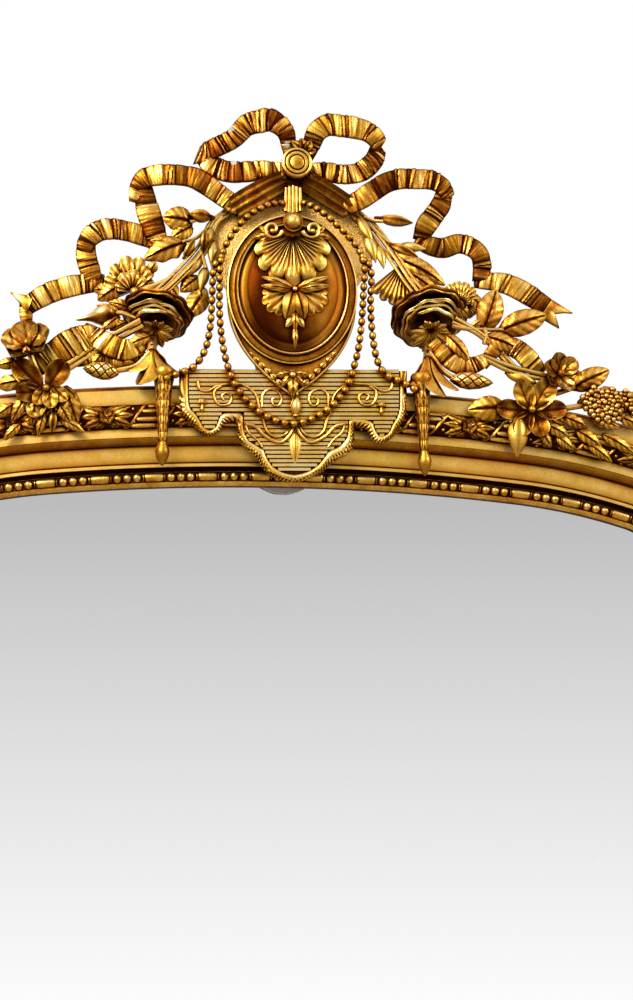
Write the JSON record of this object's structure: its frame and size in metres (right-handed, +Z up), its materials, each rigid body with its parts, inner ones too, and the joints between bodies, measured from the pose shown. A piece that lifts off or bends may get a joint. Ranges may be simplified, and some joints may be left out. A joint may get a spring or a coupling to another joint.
{
  "type": "overmantel mirror",
  "caption": "Arched giltwood overmantel mirror: moulded frame with a pierced carved crest of bow, ribbons, cartouche, flowers and pearl swags, silvered plate and hanging rings.",
  "frame": {"origin": "middle of the base, on the plane of the frame's back where it meets the wall", "axes": "+Z up, +Y from the front towards the wall, +X to the right as seen from the front"},
  "size_m": [1.3654, 0.1203, 1.8532],
  "materials": {
    "gilt_wood": "burnished and toned gold leaf on gesso",
    "sanded_gilt_board": "matted, sanded gold ground",
    "pine": "aged bare pine",
    "iron_screw": "dull iron",
    "brass": "aged brass",
    "silvered_plate": "silvered plate glass"
  },
  "bodies": {
    "mirror": {"moulding_crown": "gilt_wood", "moulding_haunch_left": "gilt_wood", "moulding_haunch_right": "gilt_wood", "moulding_stile_left": "gilt_wood", "moulding_stile_right": "gilt_wood", "moulding_base": "gilt_wood", "torus_top": "gilt_wood", "torus_left": "gilt_wood", "torus_right": "gilt_wood", "torus_base": "gilt_wood", "slip_top": "gilt_wood", "slip_left": "gilt_wood", "slip_right": "gilt_wood", "slip_base": "gilt_wood", "cartouche_shield": "gilt_wood", "cartouche_rim": "gilt_wood", "cartouche_dome": "gilt_wood", "cartouche_shell": "gilt_wood", "bow_knot": "gilt_wood", "bow_collar": "gilt_wood", "bow_left": "gilt_wood", "bow_right": "gilt_wood", "ribbon_left": "gilt_wood", "ribbon_right": "gilt_wood", "rose_left": "gilt_wood", "rose_right": "gilt_wood", "spray_left": "gilt_wood", "spray_right": "gilt_wood", "lambrequin": "gilt_wood", "twist_left": "gilt_wood", "twist_right": "gilt_wood", "bell_left": "gilt_wood", "bell_right": "gilt_wood", "drop_left": "gilt_wood", "drop_right": "gilt_wood", "posy_left": "gilt_wood", "posy_right": "gilt_wood", "pearl_strings": "gilt_wood", "crest_board": "sanded_gilt_board", "carcass_crown": "pine", "carcass_haunch_left": "pine", "carcass_haunch_right": "pine", "carcass_stile_left": "pine", "carcass_stile_right": "pine", "carcass_base": "pine", "carcass_dowels": "pine", "glass_blocks": "pine", "backboard_left": "pine", "backboard_middle": "pine", "backboard_right": "pine", "crest_batten_left": "pine", "crest_batten_right": "pine", "backboard_screws": "iron_screw", "crest_screws": "iron_screw", "hanger_screws": "iron_screw", "hanger_strap_left": "brass", "hanger_strap_right": "brass", "mirror_glass": "silvered_plate"},
    "hanger_ring_left": {"hanger_ring_left": "brass"},
    "hanger_ring_right": {"hanger_ring_right": "brass"}
  },
  "joints": [
    {"name": "ring_left_swing", "type": "hinge", "parent": "mirror", "child": "hanger_ring_left", "pos_m": [-0.63075, 0.00426, 1.01002], "axis": [1, 0, 0], "range_deg": [0, 170]},
    {"name": "ring_right_swing", "type": "hinge", "parent": "mirror", "child": "hanger_ring_right", "pos_m": [0.63075, 0.00426, 1.01002], "axis": [1, 0, 0], "range_deg": [0, 170]}
  ]
}
